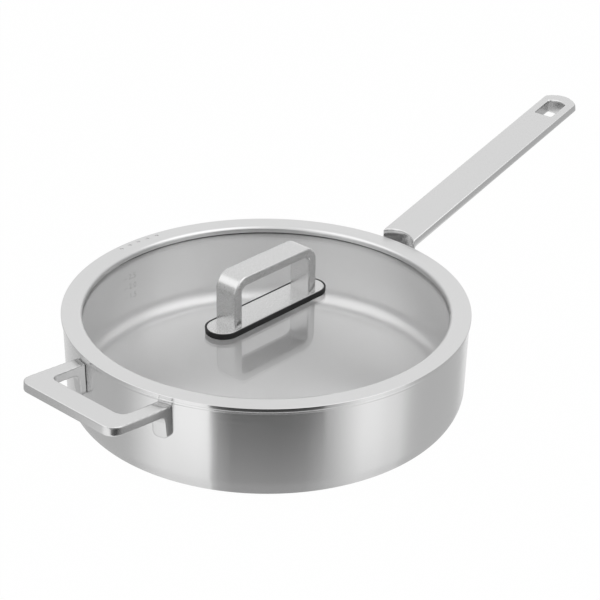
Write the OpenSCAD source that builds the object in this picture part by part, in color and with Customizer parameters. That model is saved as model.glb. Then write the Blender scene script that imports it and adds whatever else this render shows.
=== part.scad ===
// Saute pan with lid: a clad steel pan with a long handle and a helper
// handle, closed by a glass straining lid in a folded steel rim.
// Millimetres, +Z up. The origin is the middle of the underside,
// the long handle points along +X and the straining holes face +Y.

/* [Pan] */
// Outside diameter of the wall at the rim
pan_top_d = 289; // [200:0.5:340]
// Height from the underside to the rim
pan_h = 70.9; // [50:0.1:110]
// Lean of the wall away from vertical, in degrees
wall_draft = 0.85; // [0:0.05:6]
// Outside radius between base and wall
corner_r = 16.9; // [6:0.1:20]
// Thickness of each steel skin
skin_t = 0.6; // [0.4:0.1:1]
// Thickness of the aluminium core
core_t = 1.8; // [1:0.1:3]
// Steel that closes over the core at the rim
rim_close = 1; // [0.5:0.1:2]
// How far the pouring lip stands out from the wall
lip_out = 0.5; // [0.4:0.1:2]
// Height of the pouring lip
lip_h = 2.3; // [1:0.1:5]

/* [Long handle] */
// Length of the bar, measured up its slope
handle_l = 221.8; // [120:0.1:260]
// Width of the bar
handle_w = 30.8; // [22:0.1:36]
// Depth of the bar at its middle
handle_depth = 12.5; // [9:0.1:16]
// Depth of the bar at its edges
handle_edge_t = 6.4; // [3:0.1:7]
// Rounding of the upper edges of the bar
handle_edge_r = 0.8; // [0.3:0.1:1.5]
// Rise of the bar above level, in degrees
handle_rise = 14.7; // [5:0.1:25]
// Radius of the outer end, seen from above
handle_end_r = 22; // [19:0.5:40]
// Gap between the lid and the front of the neck
neck_gap = 1.4; // [1:0.1:4]
// Height of the front corner of the neck above the lid rim
neck_rise = 4.7; // [2:0.1:12]
// Depth of the neck at its middle, before the scoop
neck_t = 8.3; // [7.5:0.1:11]
// Step in from the sides of the bar to the sides of the neck
neck_inset = 0.1; // [0.05:0.05:1]
// Radius of the scoop down the front of the neck
scoop_r = 23; // [20:0.5:60]
// Depth of the scoop
scoop_depth = 5.5; // [1:0.1:6]
// Radius of the inner corner between the edges of neck and bar
neck_fillet_r = 4; // [1:0.1:8]
// Distance from the rim down to the foot on the wall
foot_drop = 6.2; // [4:0.1:12]
// Height of the foot on the wall
foot_h = 29; // [18:0.5:34]
// Depth of the foot at its lower end, from the front of the neck
foot_end_t = 4; // [2:0.1:6]
// Rounding of the lower corners of the foot
foot_corner_r = 8; // [3:0.5:11]

/* [Hanging hole] */
// Length of the hole, measured level
hang_l = 22.2; // [14:0.1:30]
// Width of the hole
hang_w = 16.5; // [10:0.1:18]
// Metal between the hole and the end of the bar, up its slope
hang_margin = 8.3; // [5:0.1:15]
// Rounding of the corners of the hole
hang_corner_r = 1.5; // [0.5:0.1:4]
// Radius of the outer edge of the hole
hang_end_r = 18; // [12:0.5:30]

/* [Helper handle] */
// Reach of the grip outside the pouring lip, up its slope
helper_reach = 44.1; // [38:0.1:70]
// Width over both legs
helper_w = 91.4; // [75:0.1:110]
// Width of each leg
helper_leg_w = 10.7; // [7:0.1:14]
// Width of the grip bar
helper_grip_w = 18.1; // [10:0.1:24]
// Thickness of legs and grip
helper_t = 6.9; // [5:0.1:9]
// Rise of the grip above level, in degrees
helper_rise = 4.8; // [0:0.1:15]
// Top of the grip below the rim, at the pouring lip
helper_drop = 3; // [0.2:0.1:5]
// Radius of the outer corners
helper_corner_r = 9; // [4:0.5:14]
// Radius of the inner corners
helper_inner_r = 7; // [3:0.5:12]
// Height of the feet on the wall, from their lower end to the rim
helper_foot_h = 27.7; // [16:0.1:34]
// Depth of the feet at their upper end
helper_foot_t = 6; // [4:0.1:8]
// Depth of the feet at their lower end
helper_foot_end_t = 4.8; // [3:0.1:6]
// Radius under each leg, where it meets its foot
helper_fillet_r = 5; // [2:0.5:7]

/* [Lid rim] */
// How far the lid stands out past the pouring lip
lid_overhang = 0.5; // [0.4:0.05:2.5]
// Height of the folded rim above its seat
ring_h = 2.7; // [2.6:0.1:5]
// Thickness of the folded sheet
sheet_t = 1; // [0.6:0.1:1.2]
// Radius of the outer edge
edge_roll_r = 1.3; // [1.3:0.1:2.5]
// Radius of the inner edge
inner_roll_r = 3.3; // [1.5:0.1:4]
// Width of the turned-in seat that rests on the pan
seat_w = 3; // [2.8:0.1:4.2]

/* [Glass and channel] */
// Thickness of the glass
glass_t = 4; // [3:0.1:5]
// Depth of the glass below the top of the rim
glass_drop = 5.4; // [4:0.1:6.5]
// Height of the channel that carries the glass
channel_h = 10.9; // [10.6:0.1:14]
// Width of the channel from its wall to its lips
channel_w = 4.9; // [4:0.1:7]
// Thickness of the seal outside the glass edge
seal_wall = 2.2; // [1:0.1:2.6]

/* [Straining holes] */
// Number of holes
strain_n = 5; // [1:1:12]
// Diameter of each hole
strain_d = 3; // [1.5:0.1:3.6]
// Distance between neighbouring holes along the rim
strain_pitch = 8.7; // [5:0.1:12]
// Direction of the middle hole from the long handle, in degrees
strain_az = 87.5; // [0:0.5:180]

/* [Lid handle] */
// Length over both legs
grip_l = 83.4; // [70:0.1:120]
// Width of the strap
grip_w = 19.2; // [12:0.1:22]
// Thickness of the strap
grip_t = 7.2; // [6:0.1:9]
// Height of the strap above its plate
grip_h = 37.2; // [30:0.1:50]
// Outer radius of the two bends
grip_bend_r = 12; // [10.5:0.5:16]
// Rounding of the long edges of the strap
grip_edge_r = 1.5; // [0.4:0.1:2.5]
// Length of the plate beyond each leg
plate_margin = 13.8; // [6:0.1:20]
// Width of the plate
plate_w = 23.4; // [19:0.1:30]
// Thickness of the plate
plate_t = 3; // [1.5:0.1:4]
// Width of the gasket that shows round the plate
gasket_rim = 1.3; // [0.8:0.1:3]
// Thickness of the gasket under the plate
gasket_floor = 1.1; // [0.6:0.1:2.5]

/* [Lid screws] */
// Diameter of the screws
screw_d = 4; // [3:0.5:4]
// Depth of the screws in the legs
screw_grip = 12; // [8:0.5:16]
// Diameter of the screw heads
head_d = 8; // [7:0.1:10]
// Height of the screw heads
head_h = 2.6; // [2:0.1:3.5]
// Size across the flats of the key socket
socket_w = 2.5; // [2:0.5:3]
// Depth of the key socket
socket_h = 1.5; // [1:0.1:1.8]
// Diameter of the holes in the glass
glass_hole_d = 10; // [8:0.1:12]
// Diameter of the bush flanges
bush_flange_d = 16; // [13:0.5:20]
// Thickness of the bush flanges
bush_flange_t = 1; // [0.6:0.1:2]
// Diameter of the washers
washer_d = 15; // [12:0.5:18]
// Thickness of the washers
washer_t = 1.2; // [0.8:0.1:2]

/* [Clearances] */
// Height of the lid seat above the rim of the pan
seat_gap = 0.1; // [0.05:0.05:0.3]
// Film of weld between the handles and the wall
weld_gap = 0.1; // [0.05:0.05:0.3]
// Side play of the lid inside the pan
locate_gap = 2.6; // [2.5:0.05:5]
// Gap round parts that are pressed or crimped together
fit_gap = 0.1; // [0.05:0.05:0.2]
// Gap between the inner edge of the rim and the glass
glass_gap = 0.3; // [0.1:0.1:0.6]
// Gap round a screw in a hole that it passes
screw_gap = 0.2; // [0.1:0.05:0.4]

/* [Hidden] */
$fn = 96;
// Overrun of cuts past the faces that they open
cut = 1;
// Extra radius that lets a rounded corner meet its sides at a slight angle
corner_ease = 0.04;

// Pan
wall_t = 2 * skin_t + core_t;
draft_tan = tan(wall_draft);
foot_r0 = pan_top_d / 2 - pan_h * draft_tan;
function wall_r(z) = foot_r0 + z * draft_tan;
corner_x = wall_r(corner_r) - corner_r / cos(wall_draft);
lip_r = pan_top_d / 2 + lip_out;
mouth_r = pan_top_d / 2 - wall_t / cos(wall_draft);

// Lid
lid_r = lip_r + lid_overhang;
lid_z = pan_h + seat_gap;
lid_top_z = lid_z + ring_h;
seat_r = lid_r - seat_w;
channel_r = mouth_r - locate_gap;
channel_top_z = lid_top_z - sheet_t;
channel_z = channel_top_z - channel_h;
channel_bore_r = channel_r - sheet_t;
channel_lip_r = channel_r - channel_w;
rim_roll_x = channel_lip_r - fit_gap;
glass_r = channel_bore_r - fit_gap - seal_wall;
glass_top_z = lid_top_z - glass_drop;
glass_z = glass_top_z - glass_t;
rim_leg_z = glass_top_z + glass_gap;
strain_r = (channel_r + seat_r) / 2;
strain_step = strain_pitch / strain_r * 180 / PI;

// Lid handle and its screws, from the glass outwards
plate_z = glass_top_z + gasket_floor;
plate_top_z = plate_z + plate_t;
plate_l = grip_l + 2 * plate_margin;
grip_top_z = plate_top_z + grip_h;
screw_x = grip_l / 2 - grip_t / 2;
bush_z = glass_z - bush_flange_t;
washer_z = bush_z - washer_t;
head_z = washer_z - head_h;
screw_hole_d = screw_d + 2 * screw_gap;

// Long handle
neck_x = lid_r + neck_gap;
neck_z = lid_top_z + neck_rise;
neck_w = handle_w - 2 * neck_inset;
belly = handle_depth - handle_edge_t;
belly_r = (handle_w * handle_w / 4 + belly * belly) / (2 * belly);
foot_top_z = pan_h - foot_drop;
foot_z = foot_top_z - foot_h;
// The bar runs this far back through the neck before the front is cut
bar_back = handle_depth * tan(handle_rise) + cut;

// Helper handle
helper_z = pan_h - helper_drop;
helper_foot_z = pan_h - helper_foot_h;
helper_under_z = helper_z - helper_t / cos(helper_rise)
    + (helper_foot_t + helper_fillet_r - lip_out) * tan(helper_rise);

// A rectangle from the origin with its four corners rounded
module rounded_rect(size, r) {
    translate([r, 0]) square([size.x - 2 * r, size.y]);
    translate([0, r]) square([size.x, size.y - 2 * r]);
    for (x = [r, size.x - r], y = [r, size.y - r])
        translate([x, y]) circle(r);
}

// A slot with round ends, centred
module stadium(l, w) {
    square([l - w, w], center = true);
    for (s = [-1, 1])
        translate([s * (l - w) / 2, 0]) circle(d = w);
}

// A copy at each screw of the lid handle
module at_screws() {
    for (s = [-1, 1])
        translate([s * screw_x, 0, 0]) children();
}

// Half section of everything inside the surface that lies at depth t
module pan_region(t, top) {
    r = corner_r - t;
    polygon([
        [0, t],
        [corner_x, t],
        [corner_x + r * cos(wall_draft), corner_r - r * sin(wall_draft)],
        [wall_r(top) - t / cos(wall_draft), top],
        [0, top]]);
    translate([corner_x, corner_r]) circle(r);
}

// The pan and its lip as one solid, grown by a gap, to cut the handles
module pan_blank(gap) {
    rotate_extrude() {
        pan_region(-gap, pan_h + cut);
        translate([0, pan_h - lip_h - gap])
            square([lip_r + gap, lip_h + gap + cut]);
    }
}

module lip_section() {
    z = pan_h - lip_h;
    soft = lip_out / 2;
    polygon([
        [wall_r(z) - skin_t / 2, z],
        [wall_r(z), z],
        [lip_r, z + soft],
        [lip_r, pan_h - soft],
        [lip_r - soft, pan_h],
        [pan_top_d / 2 - skin_t / 2, pan_h]]);
}

module outer_shell() {
    color("silver")
        rotate_extrude() {
            difference() {
                pan_region(0, pan_h);
                pan_region(skin_t, pan_h + cut);
            }
            lip_section();
        }
}

module core_layer() {
    color("darkgray")
        rotate_extrude()
            difference() {
                pan_region(skin_t, pan_h - rim_close);
                pan_region(skin_t + core_t, pan_h + cut);
            }
}

// The inner skin turns out over the core at the rim
module inner_shell() {
    color("gainsboro")
        rotate_extrude()
            difference() {
                union() {
                    pan_region(skin_t + core_t, pan_h);
                    intersection() {
                        pan_region(skin_t, pan_h);
                        translate([0, pan_h - rim_close])
                            square([lip_r, rim_close]);
                    }
                }
                pan_region(wall_t, pan_h + cut);
            }
}

// Cross-section of the bar: flat on top, a shallow belly below
module bar_section() {
    intersection() {
        union() {
            translate([-handle_w / 2, -handle_depth])
                square([handle_w, handle_depth - handle_edge_r]);
            translate([-handle_w / 2 + handle_edge_r, -handle_depth])
                square([handle_w - 2 * handle_edge_r, handle_depth]);
            for (s = [-1, 1])
                translate([s * (handle_w / 2 - handle_edge_r), -handle_edge_r])
                    circle(handle_edge_r);
        }
        translate([0, belly_r - handle_depth]) circle(belly_r);
    }
}

// Outline of the bar from above, with its curved outer end
module bar_plan() {
    translate([-bar_back, -handle_w / 2])
        square([handle_l - handle_end_r + bar_back, handle_w]);
    translate([handle_l - handle_end_r, 0]) circle(handle_end_r);
}

// Outline of the hanging hole from above, level, from the front of the neck
module hang_plan() {
    far = (handle_l - hang_margin) * cos(handle_rise);
    intersection() {
        translate([far - hang_l, -hang_w / 2])
            rounded_rect([hang_l + hang_corner_r, hang_w], hang_corner_r);
        translate([far - hang_end_r, 0]) circle(hang_end_r);
    }
}

// Places what is drawn level at the front corner of the neck on the slope
module on_slope() {
    translate([neck_x, 0, neck_z])
        rotate([0, -handle_rise, 0])
            children();
}

// The bar on its slope, with the hole cut straight down through it
module bar() {
    difference() {
        on_slope()
            intersection() {
                translate([-bar_back, 0, 0])
                    rotate([90, 0, 90])
                        linear_extrude(handle_l + bar_back)
                            bar_section();
                translate([0, 0, -handle_depth - cut])
                    linear_extrude(handle_depth + 2 * cut)
                        bar_plan();
            }
        translate([neck_x, 0, neck_z - handle_depth])
            linear_extrude(handle_l)
                hang_plan();
    }
}

// Fills the inner corner between the edges of neck and bar to a radius
module neck_fillet() {
    r = neck_fillet_r;
    x = neck_x + neck_t - belly + r;
    z = neck_z - (handle_edge_t + r) / cos(handle_rise) + (x - neck_x) * tan(handle_rise);
    far = r + cut;
    rotate([90, 0, 0])
        linear_extrude(neck_w, center = true)
            translate([x, z])
                difference() {
                    polygon([
                        [0, 0],
                        [-far, 0],
                        [-far, far],
                        [-far * sin(handle_rise), far * cos(handle_rise)]]);
                    circle(r);
                }
}

// Neck and foot in one: the plan is the bar's section stood upright
module neck() {
    back_x = neck_x + neck_t;
    wall_x = neck_x - lid_overhang - neck_gap - lip_out;
    taper = (neck_t - foot_end_t) / foot_h;
    intersection() {
        translate([0, 0, foot_z])
            linear_extrude(neck_z - handle_edge_t / 2 - foot_z)
                intersection() {
                    translate([wall_x - belly, -handle_w])
                        square([back_x - wall_x + belly, 2 * handle_w]);
                    translate([back_x - belly_r, 0]) circle(belly_r);
                }
        // Side view: the belly thins out towards the lower end of the foot
        rotate([90, 0, 0])
            linear_extrude(2 * handle_w, center = true)
                polygon([
                    [0, foot_z - cut],
                    [neck_x + foot_end_t - taper * cut, foot_z - cut],
                    [neck_x + foot_end_t + taper * 2 * foot_h, foot_z + 2 * foot_h],
                    [0, foot_z + 2 * foot_h]]);
        // Front view: round lower corners
        rotate([90, 0, 90])
            linear_extrude(back_x + cut)
                translate([-neck_w / 2, foot_z])
                    rounded_rect([neck_w, neck_z + foot_h - foot_z], foot_corner_r);
    }
}

module long_handle() {
    scoop_z = foot_top_z + scoop_depth / 2;
    color("silver")
        difference() {
            union() {
                bar();
                neck();
                neck_fillet();
            }
            pan_blank(weld_gap);
            // Room for the rim and the lid in front of the neck
            translate([0, -handle_w, foot_top_z])
                cube([neck_x, 2 * handle_w, neck_z]);
            translate([neck_x + scoop_depth - scoop_r, 0, scoop_z])
                cylinder(r = scoop_r, h = neck_z);
        }
}

// The grip and its legs as one flat loop, seen from above
module helper_plan() {
    back = helper_reach;
    difference() {
        translate([-back, -helper_w / 2])
            rounded_rect([helper_reach + back, helper_w], helper_corner_r);
        translate([-2 * back, helper_leg_w - helper_w / 2])
            rounded_rect([helper_reach - helper_grip_w + 2 * back, helper_w - 2 * helper_leg_w],
                helper_inner_r);
    }
}

// Half section of the feet: a slip of steel up the wall, spreading under the leg
module helper_foot_section() {
    x = wall_r(helper_under_z) + helper_foot_t;
    polygon([
        [wall_r(helper_foot_z) - wall_t, helper_foot_z],
        [wall_r(helper_foot_z) + helper_foot_end_t, helper_foot_z],
        [x, helper_under_z],
        [x, helper_z - helper_t / 2],
        [wall_r(pan_h) - wall_t, helper_z - helper_t / 2]]);
    difference() {
        translate([x - cut, helper_under_z - helper_fillet_r])
            square([helper_fillet_r + cut, helper_fillet_r + helper_t / 4]);
        translate([x + helper_fillet_r, helper_under_z - helper_fillet_r])
            circle(helper_fillet_r);
    }
}

// Places what is drawn level on the slope of the grip, outwards along +X
module on_helper_slope() {
    translate([-lip_r, 0, helper_z])
        rotate([0, helper_rise, 0])
            mirror([1, 0, 0])
                children();
}

// Cuts the sharp lower corners off both feet
module helper_foot_corners() {
    r = helper_leg_w / 3;
    for (s = [0, 1], e = [0, 1])
        mirror([0, s, 0])
            translate([0, (helper_w - helper_leg_w) / 2, helper_foot_z])
                mirror([0, e, 0])
                    rotate([90, 0, -90])
                        linear_extrude(lip_r + helper_reach)
                            translate([helper_leg_w / 2 - r, 0])
                                difference() {
                                    translate([0, -cut]) square(r + cut);
                                    translate([0, r]) circle(r + corner_ease);
                                }
}

module helper_handle() {
    color("silver")
        difference() {
            intersection() {
                union() {
                    on_helper_slope()
                        translate([-helper_reach, -helper_w, -helper_t])
                            cube([2 * helper_reach + cut, 2 * helper_w, helper_t]);
                    rotate_extrude() helper_foot_section();
                }
                on_helper_slope()
                    translate([0, 0, -2 * helper_foot_h])
                        linear_extrude(2 * helper_foot_h)
                            helper_plan();
            }
            pan_blank(weld_gap);
            helper_foot_corners();
        }
}

// What lies under the sheet of the rim, down to where its two edges end
module rim_fill(t) {
    roll_z = lid_top_z - inner_roll_r;
    edge_x = lid_r - edge_roll_r;
    edge_z = lid_top_z - edge_roll_r;
    translate([rim_roll_x, rim_leg_z])
        square([edge_x - rim_roll_x, lid_top_z - t - rim_leg_z]);
    translate([rim_roll_x - inner_roll_r + t, rim_leg_z])
        square([inner_roll_r, roll_z - rim_leg_z]);
    translate([rim_roll_x, roll_z]) circle(inner_roll_r - t);
    translate([rim_roll_x, rim_leg_z])
        square([lid_r - t - rim_roll_x, edge_z - rim_leg_z]);
    translate([edge_x, edge_z]) circle(edge_roll_r - t);
}

// Half section of the folded rim: inner roll, flat top, rolled edge, seat
module rim_section() {
    difference() {
        rim_fill(0);
        rim_fill(sheet_t);
        translate([0, rim_leg_z - inner_roll_r])
            square([seat_r, inner_roll_r]);
        translate([rim_roll_x, rim_leg_z - inner_roll_r])
            square([lid_r, lid_z - rim_leg_z + inner_roll_r]);
    }
    translate([seat_r, lid_z])
        square([seat_w - sheet_t / 2, sheet_t]);
}

module lid_rim() {
    color("silver")
        difference() {
            rotate_extrude() rim_section();
            for (i = [0 : strain_n - 1])
                rotate([0, 0, strain_az + (i - (strain_n - 1) / 2) * strain_step])
                    translate([strain_r, 0, channel_top_z - cut / 2])
                        cylinder(d = strain_d, h = sheet_t + cut);
        }
}

module glass_channel() {
    color("silver")
        rotate_extrude()
            difference() {
                translate([channel_lip_r, channel_z])
                    square([channel_w, channel_h]);
                translate([channel_lip_r - cut, channel_z + sheet_t])
                    square([channel_w - sheet_t + cut, channel_h - 2 * sheet_t]);
            }
}

module glass_seal() {
    color("dimgray")
        rotate_extrude()
            difference() {
                translate([channel_lip_r, channel_z + sheet_t])
                    square([channel_w - sheet_t - fit_gap, channel_h - 2 * sheet_t]);
                translate([0, glass_z])
                    square([glass_r + fit_gap, glass_t]);
            }
}

module lid_glass() {
    color("lightcyan", 0.4)
        translate([0, 0, glass_z])
            difference() {
                cylinder(r = glass_r, h = glass_t);
                at_screws()
                    translate([0, 0, -cut])
                        cylinder(d = glass_hole_d, h = glass_t + 2 * cut);
            }
}

module lid_handle_gasket() {
    color("dimgray")
        translate([0, 0, glass_top_z])
            difference() {
                linear_extrude(gasket_floor + plate_t)
                    stadium(plate_l + 2 * gasket_rim, plate_w + 2 * gasket_rim);
                translate([0, 0, gasket_floor])
                    linear_extrude(plate_t + cut)
                        stadium(plate_l + 2 * fit_gap, plate_w + 2 * fit_gap);
                at_screws()
                    translate([0, 0, -cut])
                        cylinder(d = screw_hole_d, h = gasket_floor + 2 * cut);
            }
}

module lid_handle_plate() {
    color("lightgray")
        translate([0, 0, plate_z])
            difference() {
                linear_extrude(plate_t) stadium(plate_l, plate_w);
                at_screws()
                    translate([0, 0, -cut])
                        cylinder(d = screw_hole_d, h = plate_t + 2 * cut);
            }
}

// Cross-section of the strap, centred
module strap_section() {
    translate([-grip_t / 2, -grip_w / 2])
        rounded_rect([grip_t, grip_w], grip_edge_r);
}

module lid_handle() {
    bend_x = grip_l / 2 - grip_bend_r;
    bend_z = grip_top_z - grip_bend_r;
    mid_r = grip_bend_r - grip_t / 2;
    color("silver")
        difference() {
            union() {
                at_screws()
                    translate([0, 0, plate_top_z])
                        linear_extrude(bend_z - plate_top_z)
                            strap_section();
                for (s = [0, 1])
                    mirror([s, 0, 0])
                        translate([bend_x, 0, bend_z])
                            rotate([90, 0, 0])
                                rotate_extrude(angle = 90)
                                    translate([mid_r, 0]) strap_section();
                translate([-bend_x, 0, bend_z + mid_r])
                    rotate([0, 90, 0])
                        linear_extrude(2 * bend_x)
                            strap_section();
            }
            at_screws()
                translate([0, 0, plate_top_z - cut])
                    cylinder(d = screw_d + 2 * fit_gap, h = screw_grip + 2 * cut);
        }
}

module glass_bushes() {
    color("dimgray")
        at_screws()
            difference() {
                union() {
                    translate([0, 0, bush_z])
                        cylinder(d = bush_flange_d, h = bush_flange_t);
                    translate([0, 0, bush_z])
                        cylinder(d = glass_hole_d - 2 * fit_gap, h = bush_flange_t + glass_t);
                }
                translate([0, 0, bush_z - cut])
                    cylinder(d = screw_hole_d, h = bush_flange_t + glass_t + 2 * cut);
            }
}

module screw_washers() {
    color("silver")
        at_screws()
            translate([0, 0, washer_z])
                difference() {
                    cylinder(d = washer_d, h = washer_t);
                    translate([0, 0, -cut])
                        cylinder(d = screw_hole_d, h = washer_t + 2 * cut);
                }
}

module lid_screws() {
    color("silver")
        at_screws()
            difference() {
                union() {
                    translate([0, 0, head_z])
                        cylinder(d = head_d, h = head_h);
                    translate([0, 0, washer_z])
                        cylinder(d = screw_d, h = plate_top_z + screw_grip - washer_z);
                }
                translate([0, 0, head_z - cut])
                    cylinder(d = socket_w / cos(30), h = socket_h + cut, $fn = 6);
            }
}

outer_shell();
core_layer();
inner_shell();
long_handle();
helper_handle();
lid_rim();
glass_channel();
glass_seal();
lid_glass();
lid_handle_gasket();
lid_handle_plate();
lid_handle();
glass_bushes();
screw_washers();
lid_screws();
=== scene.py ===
import math

import bmesh
import bpy
from bpy.props import FloatProperty, FloatVectorProperty, IntProperty, PointerProperty
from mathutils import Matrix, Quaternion, Vector


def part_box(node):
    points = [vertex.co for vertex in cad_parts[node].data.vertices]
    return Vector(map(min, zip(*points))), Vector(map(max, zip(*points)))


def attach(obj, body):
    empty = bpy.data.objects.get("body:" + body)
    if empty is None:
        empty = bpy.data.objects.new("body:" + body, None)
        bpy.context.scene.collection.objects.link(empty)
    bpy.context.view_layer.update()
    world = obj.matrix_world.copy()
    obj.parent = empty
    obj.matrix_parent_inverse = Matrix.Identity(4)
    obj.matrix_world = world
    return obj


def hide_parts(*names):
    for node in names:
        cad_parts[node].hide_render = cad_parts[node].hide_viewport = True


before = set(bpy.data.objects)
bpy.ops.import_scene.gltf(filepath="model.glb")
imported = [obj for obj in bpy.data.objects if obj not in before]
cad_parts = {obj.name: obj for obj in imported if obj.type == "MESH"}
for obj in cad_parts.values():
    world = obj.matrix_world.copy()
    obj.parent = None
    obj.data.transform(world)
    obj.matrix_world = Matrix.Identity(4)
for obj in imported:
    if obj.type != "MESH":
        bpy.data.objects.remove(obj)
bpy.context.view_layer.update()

bl_info = {
    "name": "Saute pan with straining lid",
    "version": (1, 0, 0),
    "blender": (4, 5, 0),
    "location": "View3D > Sidebar > Saute pan",
    "description": "Dresses the packed saute pan: spun shells, cast handles, glass lid and studio",
    "category": "Object",
}

PAN_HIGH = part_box("outer_shell")[1]
RIM_LOW, RIM_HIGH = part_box("lid_rim")
CHANNEL_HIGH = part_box("glass_channel")[1]
PLATE_LOW, PLATE_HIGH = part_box("lid_handle_plate")
GASKET_LOW, GASKET_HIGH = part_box("lid_handle_gasket")
BUSH_LOW, BUSH_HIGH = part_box("glass_bushes")
WASHER_LOW, WASHER_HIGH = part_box("screw_washers")
SCREW_LOW, SCREW_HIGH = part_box("lid_screws")

# Points closer together than this are one, and points closer to the axis lie on it, in metres
SAME_POINT = 1e-7
ON_AXIS = 1e-6

# Rings of points on the flat base, by radius, and on the wall, by height, in metres, with one
# more ring under the lip on the outside, and one under the rim on the inside
BASE_RINGS = (0.0, 0.05, 0.1)
WALL_RINGS = (0.025, 0.04, 0.055)
BELOW_LIP = 0.062
BELOW_RIM = 0.063

# Faces round a screw, washer or bush, and round its key socket
TURNED_STEPS = 48
SOCKET_STEPS = 6

# Radius at which the wall's scratches are measured, and their length, in metres
PAN_RADIUS = 0.14
SCRATCH = 0.05

# A digit's height as a share of the font size, and the litre marks from the lowest up
DIGIT_SHARE = 0.7
LITRES = ("1.5", "2.0", "2.5")

# Studio levels: the world's light on matt surfaces, the glow of the floor, and its paint
WORLD_FILL = 0.6
FLOOR_GLOW = 0.99
FLOOR_PAINT = 0.9

# Lamps: name, degrees round from the camera, degrees up, metres away, metres wide, watts
LAMPS = (("key", 60, 55, 1.6, 1.6, 4.0), ("fill", -70, 45, 1.6, 1.6, 3.0))

# Brightness of the studio round the wall, by angle from the camera's direction. The levels started
# from how bright the wall is in the photograph at such angles, and were then set until the wall in
# the render came out the same.
BANDS = (
    (-90, 0.95), (-76, 0.8), (-68, 0.66), (-62, 0.56), (-44, 0.54), (-40, 0.59), (-36, 0.78),
    (-32, 0.98), (-28, 1.1), (-18, 1.16), (-14.5, 1.12), (-13.5, 0.62), (-12, 0.38), (-8, 0.23),
    (4, 0.2), (8, 0.21), (12, 0.25), (16, 0.4), (20, 0.62), (24, 0.85), (28, 1.06), (33, 1.06),
    (36, 0.97), (41, 0.9), (43, 0.72), (46, 0.6), (50, 0.56), (60, 0.56), (68, 0.58),
    (73, 0.64), (75, 0.78), (77, 0.95), (90, 1.0))

# The dark middle of those bands, in degrees, and a factor on its brightness by metres out from
# the wall. It is darkest about 0.14 m out, which the edge of the lid ring mirrors as a black line.
DARK_FROM, DARK_TO = -14.5, 17
DEPTH = ((0.0, 1.0), (0.09, 1.0), (0.11, 0.35), (0.13, 0.06), (0.15, 0.06), (0.18, 0.6),
         (0.22, 1.25), (0.6, 1.25))


def length(name, description, default):
    """A size in metres, for a property group."""
    return FloatProperty(name=name, description=description, default=default, min=0.0,
                         precision=5, unit="LENGTH", subtype="DISTANCE")


def angle(name, description, default):
    """An angle given in degrees, for a property group."""
    return FloatProperty(name=name, description=description, default=math.radians(default),
                         unit="ROTATION", subtype="ANGLE")


def linear(code):
    """An sRGB hex colour as linear red, green and blue."""
    parts = [int(code[i:i + 2], 16) / 255 for i in (1, 3, 5)]
    return tuple(c / 12.92 if c <= 0.04045 else ((c + 0.055) / 1.055) ** 2.4 for c in parts)


def colour(name, description, code):
    """A colour given as sRGB hex, for a property group."""
    return FloatVectorProperty(name=name, description=description, default=linear(code),
                               size=3, min=0.0, max=1.0, subtype="COLOR")


class PanSizes(bpy.types.PropertyGroup):
    """Sizes of the spun pan that the frame's boxes don't give."""
    draft: angle("Wall draft", "Lean of the wall away from vertical", 0.85)
    corner: length("Corner radius", "Outside radius between base and wall", 0.0169)
    skin: length("Skin", "Thickness of each steel skin", 0.0006)
    wall: length("Wall", "Thickness of the whole wall", 0.003)
    lip_out: length("Lip", "How far the pouring lip stands out from the wall", 0.0005)
    lip_height: length("Lip height", "Height of the pouring lip", 0.0023)
    lip_round: length("Lip rounding", "Radius of the rolled face of the lip", 0.0015)
    lip_turn: angle("Lip turn", "Half the angle that the rolled face spans", 47)
    rim_edge: length("Rim edge", "Rounding of the inner edge of the rim", 0.0004)
    rim_gap: length("Rim gap", "Fine groove between the skins at the rim", 0.00002)
    rim_close: length("Rim close", "Steel that closes over the core at the rim", 0.001)
    steps: IntProperty(name="Steps", description="Faces round the pan", default=256, min=32)


class LidSizes(bpy.types.PropertyGroup):
    """Sizes of the lid that the frame's boxes don't give."""
    sheet: length("Sheet", "Thickness of the folded sheet", 0.001)
    outer_edge: length("Outer edge", "Radius of the outer edge of the ring", 0.0004)
    inner_roll: length("Inner roll", "Radius of the inner edge of the ring", 0.0033)
    seat: length("Seat", "Width of the turned-in seat that rests on the pan", 0.003)
    seat_z: length("Seat height", "Height of the underside of the seat", 0.071)
    seat_edge: length("Seat edge", "Rounding of the lower outer edge of the seat", 0.0003)
    channel: length("Channel", "Width of the channel from its wall to its lips", 0.0049)
    fit: length("Fit", "Gap between the channel's lips and the inner roll", 0.0001)
    hole_count: IntProperty(name="Holes", description="Number of straining holes", default=5)
    hole_d: length("Hole diameter", "Diameter of each straining hole", 0.003)
    hole_taper: FloatProperty(name="Hole taper", description="Lower by upper hole diameter",
                              default=0.92, min=0.1, max=1.0)
    hole_pitch: length("Hole pitch", "Distance between neighbouring straining holes", 0.0087)
    hole_r: length("Hole circle", "Radius of the circle of straining holes", 0.1407)
    hole_azimuth: angle("Hole direction", "Middle hole from the long handle", 87.5)
    plate_edge: length("Plate edge", "Rounding of the upper edge of the plate", 0.0007)
    gasket_edge: length("Gasket edge", "Rounding of the edges of the gasket", 0.0003)
    steps: IntProperty(name="Steps", description="Faces round the ring", default=288, min=32)


class HandleSizes(bpy.types.PropertyGroup):
    """How the edges of the two cast handles are rounded."""
    long_net: length("Long net", "Spacing of the net that rounds the long handle", 0.0006)
    long_rounds: IntProperty(name="Long rounds", description="Smoothing of the long handle",
                             default=24, min=0)
    helper_net: length("Helper net", "Spacing of the net that rounds the helper", 0.0005)
    helper_rounds: IntProperty(name="Helper rounds", description="Smoothing of the helper handle",
                               default=14, min=0)


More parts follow.
